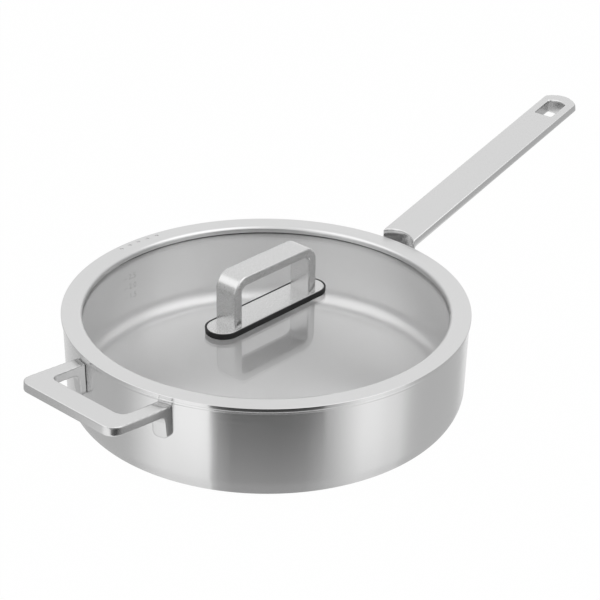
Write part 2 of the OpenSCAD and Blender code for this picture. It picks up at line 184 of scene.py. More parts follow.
class FastenerSizes(bpy.types.PropertyGroup):
    """Sizes of the lid handle's screws, washers and bushes."""
    reach: length("Reach", "Distance of each screw from the middle", 0.0381)
    shank: length("Shank", "Diameter of the screws", 0.004)
    head: length("Head", "Height of the screw heads", 0.0026)
    socket: length("Socket", "Size across the flats of the key socket", 0.0025)
    socket_depth: length("Socket depth", "Depth of the key socket", 0.0015)
    bore: length("Bore", "Diameter of the holes in washers and bushes", 0.0044)
    sleeve: length("Sleeve", "Diameter of the bush inside the glass", 0.0098)
    flange: length("Flange", "Thickness of the bush flange", 0.001)
    soft: length("Soft edge", "Rounding of the turned edges", 0.0002)


class MarkSizes(bpy.types.PropertyGroup):
    """The litre marks etched inside the wall."""
    height: length("Digit height", "Height of the digits", 0.0045)
    lowest: length("Lowest mark", "Height of the 1.5 litre mark", 0.0279)
    spacing: length("Spacing", "Height of half a litre in this pan", 0.0081)
    azimuth: angle("Direction", "Middle of the digits from the long handle", 92.7)
    lead: length("Lead", "How far the text starts before that direction", 0.0032)
    relief: length("Relief", "How far the drawn mark stands off the wall", 0.00004)


class Finishes(bpy.types.PropertyGroup):
    """Colours of the finishes."""
    outer: colour("Outer steel", "Brushed stainless steel of the wall", "#DEDEDE")
    inner: colour("Inner steel", "Brushed stainless steel of the inside", "#E2E2E2")
    cast: colour("Cast steel", "Satin cast stainless steel of the handles", "#D4D4D4")
    strap: colour("Strap steel", "Satin stainless steel of the lid handle", "#D0D0D0")
    rim: colour("Rim steel", "Satin stainless steel of the lid ring", "#D6D6D6")
    polished: colour("Polished edge", "Polished stainless steel of the rolled edge", "#DADADA")
    plate: colour("Plate steel", "Stainless steel plate of the lid handle", "#CCCCCC")
    screw: colour("Screw steel", "Machined stainless steel", "#C8C8C6")
    aluminium: colour("Aluminium", "Rolled aluminium of the core", "#DCDDDE")
    silicone: colour("Silicone", "Black moulded silicone", "#222223")
    glass: colour("Glass", "Clear tempered glass", "#F8F8F8")
    mark: colour("Marks", "Etched litre marks", "#B8B8B6")


class Studio(bpy.types.PropertyGroup):
    """Camera and light."""
    azimuth: angle("Azimuth", "Direction of the camera round the pan", -48.037)
    elevation: angle("Elevation", "Height of the camera above the horizon", 27.323)
    roll: angle("Roll", "Turn of the camera about its line of sight", 1.027)
    distance: length("Distance", "Camera to aim point", 1.20982)
    aim: FloatVectorProperty(name="Aim", description="Point the camera looks at", size=3,
                             default=(0.01582, -0.01759, 0.07703), unit="LENGTH",
                             subtype="XYZ")
    screen: length("Reflector", "Height of the reflector's upright part", 0.3)
    near: length("Near edge", "Radius where the reflector starts, under the pan", 0.1315)
    foot: length("Foot", "Radius of the reflector's first row in front of the wall", 0.147)
    near_level: FloatProperty(name="Near level", default=0.6, min=0.0,
                              description="Brightness that the bands tend to near the wall")
    near_reach: length("Near reach", "Distance from the wall over which that fades out", 0.07)
    above_floor: length("Above floor", "Height of the reflector over the floor", 0.0006)
    lens: FloatProperty(name="Lens", description="Focal length in millimetres, 36 mm sensor",
                        default=102.044, min=10.0)


# Mesh helpers


def between(table, at):
    """The value of a table of (place, value) at a place, along straight lines."""
    for (x0, y0), (x1, y1) in zip(table, table[1:]):
        if at <= x1:
            return y0 + (y1 - y0) * (at - x0) / (x1 - x0)
    return table[-1][1]


def shaded(mesh, sharp=30.0):
    """Smooth shading that breaks at edges sharper than the given angle."""
    mesh.polygons.foreach_set("use_smooth", [True] * len(mesh.polygons))
    mesh.set_sharp_from_angle(angle=math.radians(sharp))
    mesh.update()
    return mesh


def outward(mesh):
    """Turns all faces outwards."""
    work = bmesh.new()
    work.from_mesh(mesh)
    bmesh.ops.remove_doubles(work, verts=work.verts, dist=SAME_POINT)
    bmesh.ops.recalc_face_normals(work, faces=work.faces)
    work.to_mesh(mesh)
    work.free()
    return mesh


def placed(name, mesh, *materials):
    """A new object in the scene, at the origin."""
    obj = bpy.data.objects.new(name, mesh)
    bpy.context.scene.collection.objects.link(obj)
    for material in materials:
        mesh.materials.append(material)
    return obj


def settled(obj):
    """The object with its modifiers turned into plain mesh."""
    graph = bpy.context.evaluated_depsgraph_get()
    plain = bpy.data.meshes.new_from_object(obj.evaluated_get(graph))
    obj.modifiers.clear()
    obj.data = plain
    return obj


def levelled(obj):
    """Keeps flat faces flat where they meet a rounding, and settles the object."""
    normals = obj.modifiers.new("normals", "WEIGHTED_NORMAL")
    normals.keep_sharp = True
    return settled(obj)


def cut_by(obj, cutter):
    """Cuts the other object out of this one, and deletes the other."""
    carve = obj.modifiers.new("carve", "BOOLEAN")
    carve.operation = "DIFFERENCE"
    carve.solver = "EXACT"
    carve.object = cutter
    settled(obj)
    bpy.data.objects.remove(cutter)
    return obj


def merged(node, name):
    """A merged copy of a CAD node, for the piece that replaces the node."""
    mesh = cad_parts[node].data.copy()
    mesh.name = name
    mesh.materials.clear()
    return placed(name, outward(mesh))


def rounded(obj, grain, rounds):
    """Rounds all edges as a casting's are: a fine even net, smoothed a number of times."""
    net = obj.modifiers.new("net", "REMESH")
    net.mode = "VOXEL"
    net.voxel_size = grain
    net.adaptivity = 0.0
    net.use_smooth_shade = True
    ease = obj.modifiers.new("ease", "SMOOTH")
    ease.factor = 0.5
    ease.iterations = rounds
    return settled(obj)


def given(obj, body, slot, node, *keys):
    """Dresses a piece, ties it to its body, and lets it replace its CAD node."""
    obj.data.materials.clear()
    for key in keys:
        obj.data.materials.append(finish(key))
    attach(obj, body)
    if node:
        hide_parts(node)
    return obj


def arc(x, z, radius, start, end, steps=8):
    """Points of an arc in a half section, angles in degrees."""
    turns = [math.radians(start + (end - start) * i / steps) for i in range(steps + 1)]
    return [(x + radius * math.cos(t), z + radius * math.sin(t)) for t in turns]


def spun(name, section, steps, zone=None):
    """A solid of revolution about Z from a half section in metres.

    The section is a closed loop, or a line that starts and ends on the axis. The optional zone
    gives the material index for the middle of a face's half section."""
    points, rows = [], []
    for r, z in section:
        if r < ON_AXIS:
            rows.append([len(points)] * steps)
            points.append((0.0, 0.0, z))
            continue
        rows.append(list(range(len(points), len(points) + steps)))
        for i in range(steps):
            turn = 2 * math.pi * i / steps
            points.append((r * math.cos(turn), r * math.sin(turn), z))
    faces, zones = [], []
    open_line = section[0][0] < ON_AXIS
    for k in range(len(rows) - 1 if open_line else len(rows)):
        low, high = rows[k], rows[(k + 1) % len(rows)]
        (r0, z0), (r1, z1) = section[k], section[(k + 1) % len(rows)]
        index = zone((r0 + r1) / 2, (z0 + z1) / 2) if zone else 0
        for i in range(steps):
            j = (i + 1) % steps
            corners = []
            for v in (low[i], low[j], high[j], high[i]):
                if v not in corners:
                    corners.append(v)
            faces.append(corners)
            zones.append(index)
    mesh = bpy.data.meshes.new(name)
    mesh.from_pydata(points, [], faces)
    mesh.polygons.foreach_set("material_index", zones)
    return shaded(outward(mesh))


def stacked(name, rings):
    """A solid skinned over closed rings of equal length, with a flat face on both ends."""
    count = len(rings[0])
    points = [p for ring in rings for p in ring]
    faces = [list(range(count)), list(range(len(points) - count, len(points)))]
    for k in range(len(rings) - 1):
        for i in range(count):
            j = (i + 1) % count
            faces.append([k * count + i, k * count + j, (k + 1) * count + j, (k + 1) * count + i])
    mesh = bpy.data.meshes.new(name)
    mesh.from_pydata(points, [], faces)
    return shaded(outward(mesh))


def slot_ring(half_length, radius, z, steps=32):
    """A slot with round ends, seen from above."""
    ring = []
    for side in (0, 1):
        centre = (half_length - radius) * (1 - 2 * side)
        for i in range(steps + 1):
            turn = math.pi * (side + i / steps) - math.pi / 2
            ring.append((centre + radius * math.cos(turn), radius * math.sin(turn), z))
    return ring


# Node helper


def add(tree, kind, inputs=None, **settings):
    """Adds a node. Inputs take a value or another node's output."""
    made = tree.nodes.new(kind)
    for key, value in settings.items():
        setattr(made, key, value)
    for key, value in (inputs or {}).items():
        if isinstance(value, bpy.types.NodeSocket):
            tree.links.new(value, made.inputs[key])
        else:
            made.inputs[key].default_value = value
    return made


# Materials


def blank(name):
    """A new empty material and its tree."""
    material = bpy.data.materials.new(name)
    material.use_nodes = True
    material.node_tree.nodes.clear()
    return material, material.node_tree


def turned_grain(tree, across):
    """Streaks that run round the Z axis: noise over direction, radius and height.

    across is the width of a streak in metres. Returns the noise and the direction round the
    axis."""
    place = add(tree, "ShaderNodeTexCoord").outputs["Object"]
    parts = add(tree, "ShaderNodeSeparateXYZ", {0: place})
    flat = add(tree, "ShaderNodeCombineXYZ", {0: parts.outputs[0], 1: parts.outputs[1]})
    radius = add(tree, "ShaderNodeVectorMath", {0: flat.outputs[0]}, operation="LENGTH")
    away = add(tree, "ShaderNodeVectorMath", {0: flat.outputs[0]}, operation="NORMALIZE")
    path = add(tree, "ShaderNodeMath", {0: radius.outputs["Value"], 1: parts.outputs[2]})
    lift = add(tree, "ShaderNodeMath", {0: path.outputs[0], 1: 1 / across}, operation="MULTIPLY")
    wide = add(tree, "ShaderNodeVectorMath", {0: away.outputs[0], 3: PAN_RADIUS / SCRATCH},
               operation="SCALE")
    high = add(tree, "ShaderNodeCombineXYZ", {2: lift.outputs[0]})
    both = add(tree, "ShaderNodeVectorMath", {0: wide.outputs[0], 1: high.outputs[0]})
    noise = add(tree, "ShaderNodeTexNoise",
                {"Vector": both.outputs[0], "Scale": 1.0, "Detail": 3.0, "Roughness": 0.6})
    around = add(tree, "ShaderNodeVectorMath", {0: (0.0, 0.0, 1.0), 1: away.outputs[0]},
                 operation="CROSS_PRODUCT")
    return noise.outputs[0], around.outputs[0]


def turned_steel(name, tint, rough, stretch, across, depth, spread):
    """Stainless steel brushed or turned round the Z axis.

    The scratches run round the axis, so the highlight is drawn out across them: the tangent
    lies round the axis and is turned by a quarter."""
    material, tree = blank(name)
    grain, around = turned_grain(tree, across)
    roughness = add(tree, "ShaderNodeMapRange",
                    {"Value": grain, "From Min": 0.3, "From Max": 0.7,
                     "To Min": rough - spread, "To Max": rough + spread})
    bump = add(tree, "ShaderNodeBump", {"Height": grain, "Strength": 1.0, "Distance": depth})
    metal = add(tree, "ShaderNodeBsdfPrincipled", {
        "Base Color": (*tint, 1.0), "Metallic": 1.0, "Roughness": roughness.outputs[0],
        "Anisotropic": stretch, "Anisotropic Rotation": 0.25, "Tangent": around,
        "Normal": bump.outputs[0]})
    add(tree, "ShaderNodeOutputMaterial", {"Surface": metal.outputs[0]})
    return material


def cast_steel(name, tint, rough, grain_size, depth):
    """Cast or machined stainless steel with an even satin grain."""
    material, tree = blank(name)
    place = add(tree, "ShaderNodeTexCoord").outputs["Object"]
    noise = add(tree, "ShaderNodeTexNoise",
                {"Vector": place, "Scale": 1 / grain_size, "Detail": 4.0, "Roughness": 0.6})
    roughness = add(tree, "ShaderNodeMapRange",
                    {"Value": noise.outputs[0], "From Min": 0.3, "From Max": 0.7,
                     "To Min": rough - 0.04, "To Max": rough + 0.04})
    bump = add(tree, "ShaderNodeBump",
               {"Height": noise.outputs[0], "Strength": 1.0, "Distance": depth})
    metal = add(tree, "ShaderNodeBsdfPrincipled", {
        "Base Color": (*tint, 1.0), "Metallic": 1.0, "Roughness": roughness.outputs[0],
        "Normal": bump.outputs[0]})
    add(tree, "ShaderNodeOutputMaterial", {"Surface": metal.outputs[0]})
    return material


def moulded_silicone(name, tint, grain_size, depth):
    """Black silicone, moulded: matt, with a faint skin texture."""
    material, tree = blank(name)
    place = add(tree, "ShaderNodeTexCoord").outputs["Object"]
    noise = add(tree, "ShaderNodeTexNoise",
                {"Vector": place, "Scale": 1 / grain_size, "Detail": 3.0})
    bump = add(tree, "ShaderNodeBump",
               {"Height": noise.outputs[0], "Strength": 0.6, "Distance": depth})
    roughness = add(tree, "ShaderNodeMapRange",
                    {"Value": noise.outputs[0], "To Min": 0.5, "To Max": 0.66})
    rubber = add(tree, "ShaderNodeBsdfPrincipled", {
        "Base Color": (*tint, 1.0), "Roughness": roughness.outputs[0], "IOR": 1.42,
        "Normal": bump.outputs[0]})
    add(tree, "ShaderNodeOutputMaterial", {"Surface": rubber.outputs[0]})
    return material


def clear_glass(name, tint, ior, lit):
    """Tempered glass: clear and smooth.

    Lamps shine through it with the share lit, so that the inside of the pan isn't dark."""
    material, tree = blank(name)
    glass = add(tree, "ShaderNodeBsdfPrincipled", {
        "Base Color": (*tint, 1.0), "Roughness": 0.0, "IOR": ior, "Transmission Weight": 1.0})
    clear = add(tree, "ShaderNodeBsdfTransparent", {0: (lit, lit, lit, 1.0)})
    path = add(tree, "ShaderNodeLightPath")
    mix = add(tree, "ShaderNodeMixShader",
              {0: path.outputs["Is Shadow Ray"], 1: glass.outputs[0], 2: clear.outputs[0]})
    add(tree, "ShaderNodeOutputMaterial", {"Surface": mix.outputs[0]})
    return material


def sees_white(tree):
    """1 for camera, glossy and transmission rays, which meet the plain white studio, or 0."""
    path = add(tree, "ShaderNodeLightPath")
    seen = add(tree, "ShaderNodeMath",
               {0: path.outputs["Is Camera Ray"], 1: path.outputs["Is Glossy Ray"]},
               operation="MAXIMUM")
    seen = add(tree, "ShaderNodeMath",
               {0: seen.outputs[0], 1: path.outputs["Is Transmission Ray"]},
               operation="MAXIMUM")
    return seen.outputs[0]


# Each finish: its name, how it is made, its colour in Finishes, and its values. Lengths are in
# metres. Real scratches and grain are under 0.1 mm, too fine to show, so they are drawn as coarse
# as 0.5 to 1.5 mm, and shallow.
FINISHES = {
    # Scratches round the wall draw every reflection out up and down, so the wall shows crisp
    # upright bands of light and dark under a fine level grain
    "outer": ("Stainless steel brushed round the wall", turned_steel, "outer",
              {"rough": 0.2, "stretch": 1.0, "across": 0.0015, "depth": 0.000004,
               "spread": 0.02}),
    # Softer brushing: a pale even sheen with a bright ring where the wall turns into the base
    "inner": ("Stainless steel brushed round the inside", turned_steel, "inner",
              {"rough": 0.3, "stretch": 0.7, "across": 0.0006, "depth": 0.00000006,
               "spread": 0.006}),
    # Satin top of the lid ring: pale, with soft edges to all that it mirrors
    "rim": ("Spun stainless steel, satin", turned_steel, "rim",
            {"rough": 0.28, "stretch": 0.5, "across": 0.0006, "depth": 0.00000006,
             "spread": 0.006}),
    # Polished edge of the ring: a near mirror, which gives the thin black line at the front
    "polished": ("Stainless steel, polished rolled edge", turned_steel, "polished",
                 {"rough": 0.14, "stretch": 0.3, "across": 0.0006, "depth": 0.0000004,
                  "spread": 0.03}),
    # Plate under the lid handle: smooth enough to mirror the legs as soft shadows
    "polished_plate": ("Stainless steel, polished plate", cast_steel, "plate",
                       {"rough": 0.27, "grain_size": 0.0005, "depth": 0.0000006}),
    # Etched marks: dull and a little darker than the brushed wall
    "mark": ("Stainless steel, etched marks", cast_steel, "mark",
             {"rough": 0.5, "grain_size": 0.0005, "depth": 0.000001}),
    # Cast and ground handles: pale satin flats with bright rounded edges
    "cast": ("Cast stainless steel, satin", cast_steel, "cast",
             {"rough": 0.24, "grain_size": 0.0005, "depth": 0.0000002}),
    # Bent strap: the same satin, a little greyer, with a bright band where it bends
    "strap": ("Bent stainless steel strap, satin", cast_steel, "strap",
              {"rough": 0.27, "grain_size": 0.0005, "depth": 0.0000006}),
    # Turned screws and washers: grey, with a soft highlight on their edges
    "screw": ("Machined stainless steel", cast_steel, "screw",
              {"rough": 0.3, "grain_size": 0.0006, "depth": 0.000004}),
    # Rolled aluminium: lighter and duller than the steel round it
    "aluminium": ("Rolled aluminium", cast_steel, "aluminium",
                  {"rough": 0.4, "grain_size": 0.001, "depth": 0.00001}),
    # Silicone: near black, with a wide dim sheen
    "silicone": ("Moulded silicone, matt black", moulded_silicone, "silicone",
                 {"grain_size": 0.0006, "depth": 0.00003}),
    # Glass: clear, with a mirror image of the handle on it. Plain glass has an IOR of 1.52, and
    # the higher value gives that image its strength in the photograph.
    "glass": ("Tempered glass, clear", clear_glass, "glass", {"ior": 1.95, "lit": 0.94}),
}


def finish(key):
    """The material of that name, made when it is first asked for."""
    name, maker, tint, values = FINISHES[key]
    tint = getattr(bpy.context.scene.pan_finishes, tint)
    return bpy.data.materials.get(name) or maker(name, tint, **values)


def dress(node, key):
    """Gives a carried-over CAD node its finish."""
    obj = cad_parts[node]
    obj.data.materials.clear()
    obj.data.materials.append(finish(key))


# Operators


class SAUTE_OT_pan_shells(bpy.types.Operator):
    """Spins the outer and the inner steel skin of the pan"""
    bl_idname = "saute.pan_shells"
    bl_label = "Pan shells"

    def execute(self, context):
        s = context.scene.pan_sizes
        top = PAN_HIGH.z
        wall_top = PAN_HIGH.x - s.lip_out
        slope = math.tan(s.draft)
        turn = math.degrees(s.draft)

        def wall(z, depth):
            return wall_top - (top - z) * slope - depth / math.cos(s.draft)

        centre = wall(s.corner, s.corner)
        lip_z = top - s.lip_height
        outside = [(r, 0.0) for r in BASE_RINGS]
        outside += arc(centre, s.corner, s.corner, -90, -turn, 16)
        outside += [(wall(z, 0.0), z) for z in (*WALL_RINGS, BELOW_LIP, lip_z)]
        face = math.degrees(s.lip_turn)
        outside += arc(PAN_HIGH.x - s.lip_round, (top + lip_z) / 2, s.lip_round, -face, face, 10)
        below = top - s.rim_gap * 10
        outside += [(wall(top, s.skin) + s.rim_gap, top), (wall(below, s.skin), below)]
        outside += [(wall(WALL_RINGS[1], s.skin), WALL_RINGS[1])]
        outside += arc(centre, s.corner, s.corner - s.skin, -turn, -90, 12)
        outside += [(0.0, s.skin)]
        outer = placed("pan_outer_skin", spun("pan_outer_skin", outside, s.steps))
        given(levelled(outer), "pan", "outer_steel", "outer_shell", "outer")

        edge = s.rim_edge
        depth = s.wall - s.skin
        inside = [(r, s.wall) for r in BASE_RINGS]
        inside += arc(centre, s.corner, s.corner - s.wall, -90, -turn, 14)
        inside += [(wall(z, s.wall), z) for z in (*WALL_RINGS, BELOW_RIM)]
        inside += arc(wall(top, s.wall) + edge, top - edge, edge, 180, 90, 5)
        inside += [(wall(top, s.skin), top)]
        inside += [(wall(top - s.rim_close, s.skin), top - s.rim_close),
                   (wall(top - s.rim_close, depth), top - s.rim_close)]
        inside += arc(centre, s.corner, s.corner - depth, -turn, -90, 12)
        inside += [(0.0, depth)]
        inner = placed("pan_inner_skin", spun("pan_inner_skin", inside, s.steps))
        given(levelled(inner), "pan", "inner_steel", "inner_shell", "inner")
        dress("core_layer", "aluminium")
        return {"FINISHED"}


class SAUTE_OT_litre_marks(bpy.types.Operator):
    """Etches the litre marks inside the wall"""
    bl_idname = "saute.litre_marks"
    bl_label = "Litre marks"

    def execute(self, context):
        s = context.scene.mark_sizes
        pan = context.scene.pan_sizes
        for step, text in enumerate(LITRES):
            curve = bpy.data.curves.new("litres_" + text, "FONT")
            curve.body = "\u2013 " + text
            curve.size = s.height / DIGIT_SHARE
            curve.extrude = s.relief / 2
            curve.resolution_u = 3
            mark = placed("litres_" + text, curve)
            graph = context.evaluated_depsgraph_get()
            mesh = bpy.data.meshes.new_from_object(mark.evaluated_get(graph))
            bpy.data.objects.remove(mark)
            low = s.lowest + step * s.spacing
            top = PAN_HIGH.z
            for vertex in mesh.vertices:
                x, y, z = vertex.co
                height = low + y - s.height / 2
                wall = (PAN_HIGH.x - pan.lip_out - (top - height) * math.tan(pan.draft)
                        - pan.wall / math.cos(pan.draft))
                turn = s.azimuth - (x - s.lead) / wall
                reach = wall - s.relief / 2 - z
                vertex.co = (reach * math.cos(turn), reach * math.sin(turn), height)
            given(placed("litres_" + text, outward(mesh)), "pan", "inner_steel", None, "mark")
        return {"FINISHED"}


class SAUTE_OT_handles(bpy.types.Operator):
    """Rounds and dresses the long handle and the helper handle"""
    bl_idname = "saute.handles"
    bl_label = "Handles"

    def execute(self, context):
        s = context.scene.handle_sizes
        bar = rounded(merged("long_handle", "cast_long_handle"), s.long_net, s.long_rounds)
        given(bar, "pan", "handle_steel", "long_handle", "cast")
        loop = rounded(merged("helper_handle", "cast_helper_handle"), s.helper_net,
                       s.helper_rounds)
        given(loop, "pan", "handle_steel", "helper_handle", "cast")
        return {"FINISHED"}


def straining_cutters(s, z, height):
    """The cutters of the straining holes, set out along a circle by Geometry Nodes."""
    tree = bpy.data.node_groups.new("Straining holes", "GeometryNodeTree")
    values = {"Count": s.hole_count, "Pitch": s.hole_pitch, "Circle": s.hole_r,
              "Direction": s.hole_azimuth, "Radius": s.hole_d / 2, "Taper": s.hole_taper,
              "Height": height, "Level": z}
    for name in values:
        kind = "NodeSocketInt" if name == "Count" else "NodeSocketFloat"
        tree.interface.new_socket(name, in_out="INPUT", socket_type=kind)
    tree.interface.new_socket("Material", in_out="INPUT", socket_type="NodeSocketMaterial")
    tree.interface.new_socket("Geometry", in_out="OUTPUT", socket_type="NodeSocketGeometry")
    given_in = add(tree, "NodeGroupInput").outputs
    points = add(tree, "GeometryNodePoints", {"Count": given_in["Count"]})
    index = add(tree, "GeometryNodeInputIndex").outputs[0]
    last = add(tree, "ShaderNodeMath", {0: given_in["Count"], 1: 1.0}, operation="SUBTRACT")
    half = add(tree, "ShaderNodeMath", {0: last.outputs[0], 1: 0.5}, operation="MULTIPLY")
    rank = add(tree, "ShaderNodeMath", {0: index, 1: half.outputs[0]}, operation="SUBTRACT")
    path = add(tree, "ShaderNodeMath", {0: rank.outputs[0], 1: given_in["Pitch"]},
               operation="MULTIPLY")
    turn = add(tree, "ShaderNodeMath", {0: path.outputs[0], 1: given_in["Circle"]},
               operation="DIVIDE")
    turn = add(tree, "ShaderNodeMath", {0: turn.outputs[0], 1: given_in["Direction"]})
    start = add(tree, "ShaderNodeCombineXYZ", {0: given_in["Circle"], 2: given_in["Level"]})
    place = add(tree, "ShaderNodeVectorRotate",
                {"Vector": start.outputs[0], "Angle": turn.outputs[0]}, rotation_type="Z_AXIS")
    moved = add(tree, "GeometryNodeSetPosition",
                {"Geometry": points.outputs[0], "Position": place.outputs[0]})
    point = add(tree, "ShaderNodeMath", {0: given_in["Radius"], 1: given_in["Taper"]},
                operation="MULTIPLY")
    drill = add(tree, "GeometryNodeMeshCone",
                {"Vertices": 32, "Radius Top": given_in["Radius"],
                 "Radius Bottom": point.outputs[0], "Depth": given_in["Height"]})
    copies = add(tree, "GeometryNodeInstanceOnPoints",
                 {"Points": moved.outputs[0], "Instance": drill.outputs[0]})
    real = add(tree, "GeometryNodeRealizeInstances", {0: copies.outputs[0]})
    dressed = add(tree, "GeometryNodeSetMaterial",
                  {"Geometry": real.outputs[0], "Material": given_in["Material"]})
    add(tree, "NodeGroupOutput", {0: dressed.outputs[0]})
    return grown("straining_cutters", tree, {**values, "Material": finish("rim")})


def grown(name, tree, values):
    """An object made by a Geometry Nodes tree with the given inputs, as plain mesh."""
    obj = placed(name, bpy.data.meshes.new(name))
    nodes = obj.modifiers.new(name, "NODES")
    nodes.node_group = tree
    for item in tree.interface.items_tree:
        if item.in_out == "INPUT" and item.name in values:
            nodes[item.identifier] = values[item.name]
    return settled(obj)


class SAUTE_OT_lid_ring(bpy.types.Operator):
    """Folds the lid ring, drills its straining holes and dresses the channel, the seal and the
    glass
    """
    bl_idname = "saute.lid_ring"
    bl_label = "Lid ring"

    def execute(self, context):
        s = context.scene.lid_sizes
        rim_r, top, leg_z = RIM_HIGH.x, RIM_HIGH.z, RIM_LOW.z
        roll_x = CHANNEL_HIGH.x - s.channel - s.fit
        edge_x, edge_z = rim_r - s.outer_edge, top - s.outer_edge
        roll_z = top - s.inner_roll
        t = s.sheet
        soft = s.seat_edge
        section = [(roll_x - s.inner_roll, leg_z)]
        section += arc(roll_x, roll_z, s.inner_roll, 180, 90, 14)
        section += [(roll_x + (edge_x - roll_x) * k / 6, top) for k in range(1, 6)]
        section += arc(edge_x, edge_z, s.outer_edge, 90, 0, 5)
        section += arc(rim_r - soft, s.seat_z + soft, soft, 0, -90, 3)
        section += [(rim_r - s.seat, s.seat_z), (rim_r - s.seat, s.seat_z + t)]
        section += [(rim_r - t, s.seat_z + t), (rim_r - t, top - t)]
        section += arc(roll_x, roll_z, s.inner_roll - t, 90, 180, 8)
        section += [(roll_x - s.inner_roll + t, leg_z)]

        def zone(r, z):
            return 1 if z < top - s.outer_edge / 2 and r > edge_x else 0

        ring = placed("lid_ring", spun("lid_ring", section, s.steps, zone),
                      finish("rim"), finish("polished"))
        drill_height = 2 * t
        cut_by(ring, straining_cutters(s, top - t / 2, drill_height))
        shaded(ring.data)
        levelled(ring)
        # Not given(), which would clear the zones of satin and polished steel
        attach(ring, "lid")
        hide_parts("lid_rim")
        dress("glass_channel", "rim")
        dress("glass_seal", "silicone")
        dress("lid_glass", "glass")
        return {"FINISHED"}


class SAUTE_OT_lid_handle(bpy.types.Operator):
    """Finishes the strap of the lid handle, its plate and its gasket"""
    bl_idname = "saute.lid_handle"
    bl_label = "Lid handle"

    def execute(self, context):
        s = context.scene.lid_sizes
        strap = merged("lid_handle", "lid_strap")
        shaded(strap.data, 32.0)
        given(levelled(strap), "lid", "handle_steel", "lid_handle", "strap")
        soft = s.plate_edge
        reach, radius = PLATE_HIGH.x, PLATE_HIGH.y
        rings = [slot_ring(reach, radius, PLATE_LOW.z)]
        for inset, drop in arc(soft, -soft, soft, 180, 90, 6):
            rings.append(slot_ring(reach - inset, radius - inset, PLATE_HIGH.z + drop))
        plate = levelled(placed("lid_plate", stacked("lid_plate", rings)))
        given(plate, "lid", "handle_steel", "lid_handle_plate", "polished_plate")

        reach, radius = GASKET_HIGH.x, GASKET_HIGH.y
        dish = GASKET_HIGH.x - PLATE_HIGH.x - s.fit
        soft = s.gasket_edge
        rings = [slot_ring(reach - soft, radius - soft, GASKET_LOW.z)]
        for inset, drop in arc(soft, -soft, soft, 180, 90, 4):
            rings.append(slot_ring(reach - inset, radius - inset, GASKET_HIGH.z + drop))
        rings += [slot_ring(reach - dish, radius - dish, GASKET_HIGH.z),
                  slot_ring(reach - dish, radius - dish, PLATE_LOW.z - s.fit)]
        gasket = levelled(placed("lid_gasket", stacked("lid_gasket", rings)))
        given(gasket, "lid", "silicone", "lid_handle_gasket", "silicone")
        return {"FINISHED"}


def pair_tree():
    """A Geometry Nodes tree that sets a piece at both screws of the lid handle."""
    tree = bpy.data.node_groups.new("Pair of fasteners", "GeometryNodeTree")
    for name, kind in (("Piece", "NodeSocketObject"), ("Reach", "NodeSocketFloat"),
                       ("Material", "NodeSocketMaterial")):
        tree.interface.new_socket(name, in_out="INPUT", socket_type=kind)
    tree.interface.new_socket("Geometry", in_out="OUTPUT", socket_type="NodeSocketGeometry")
    given_in = add(tree, "NodeGroupInput").outputs
    points = add(tree, "GeometryNodePoints", {"Count": 2})
    index = add(tree, "GeometryNodeInputIndex").outputs[0]
    side = add(tree, "ShaderNodeMath", {0: index, 1: 2.0, 2: -1.0}, operation="MULTIPLY_ADD")
    across = add(tree, "ShaderNodeMath", {0: side.outputs[0], 1: given_in["Reach"]},
                 operation="MULTIPLY")
    place = add(tree, "ShaderNodeCombineXYZ", {0: across.outputs[0]})
    moved = add(tree, "GeometryNodeSetPosition",
                {"Geometry": points.outputs[0], "Position": place.outputs[0]})
    piece = add(tree, "GeometryNodeObjectInfo", {"Object": given_in["Piece"]})
    copies = add(tree, "GeometryNodeInstanceOnPoints",
                 {"Points": moved.outputs[0], "Instance": piece.outputs["Geometry"]})
    real = add(tree, "GeometryNodeRealizeInstances", {0: copies.outputs[0]})
    dressed = add(tree, "GeometryNodeSetMaterial",
                  {"Geometry": real.outputs[0], "Material": given_in["Material"]})
    add(tree, "NodeGroupOutput", {0: dressed.outputs[0]})
    return tree


